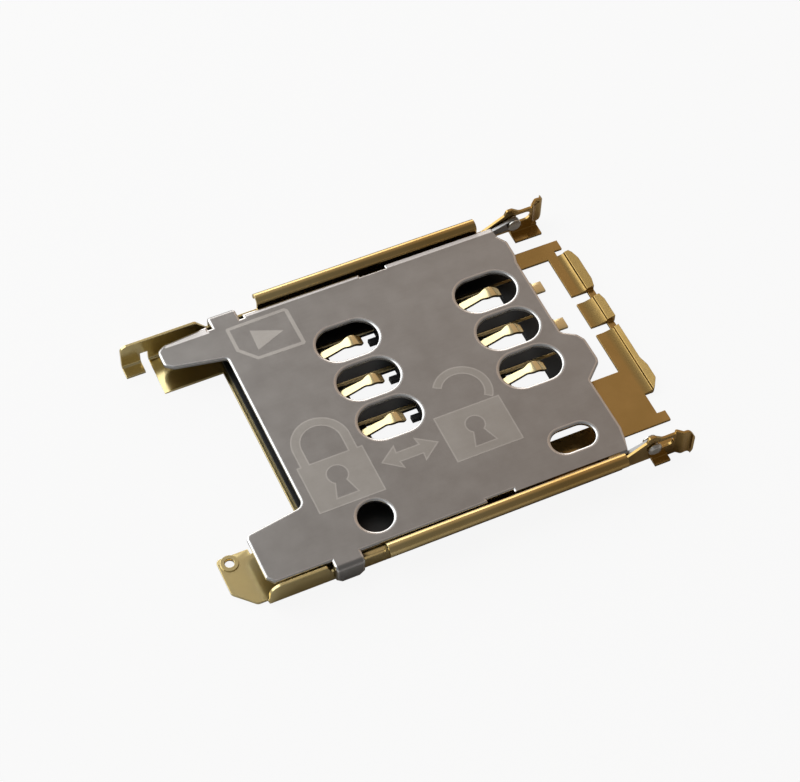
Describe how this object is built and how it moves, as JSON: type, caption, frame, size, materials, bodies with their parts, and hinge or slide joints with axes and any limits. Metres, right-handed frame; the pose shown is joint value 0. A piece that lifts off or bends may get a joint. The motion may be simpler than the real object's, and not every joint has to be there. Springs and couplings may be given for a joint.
{
  "type": "sim card socket",
  "caption": "Board-mount socket for a 25 x 15 mm chip card: stamped frame with rolled side rails, spring contacts in a black insulator, and a steel cover that slides to unlock and hinges open.",
  "frame": {"origin": "on the board plane, under the middle of the card channel's width and near the middle of the socket's length", "axes": "+X the way the card goes in, toward the hinge; +Y toward the side with the upper contact row; +Z away from the board"},
  "size_m": [0.0239, 0.0168, 0.002],
  "materials": {
    "gold_plated_frame": "bright gold plating on a stamped and folded sheet",
    "cover_steel": "satin rolled stainless sheet with lighter etched signs",
    "black_plastic": "matt moulded black",
    "gold_plated_contact": "pale bright gold plating",
    "pin_steel": "bright steel"
  },
  "bodies": {
    "socket": {"frame": "gold_plated_frame", "insulator": "black_plastic", "contact_1": "gold_plated_contact", "contact_2": "gold_plated_contact", "contact_3": "gold_plated_contact", "contact_4": "gold_plated_contact", "contact_5": "gold_plated_contact", "contact_6": "gold_plated_contact"},
    "hinge_pins": {"hinge_pin_far": "pin_steel", "hinge_pin_near": "pin_steel"},
    "lid": {"cover": "cover_steel"}
  },
  "joints": [
    {"name": "cover_slide", "type": "slide", "parent": "socket", "child": "hinge_pins", "axis": [1, 0, 0], "range_m": [0, 0.0008]},
    {"name": "cover_lift", "type": "hinge", "parent": "hinge_pins", "child": "lid", "pos_m": [0.0096, 0, 0.00115], "axis": [0, 1, 0], "range_deg": [0, 110]}
  ]
}
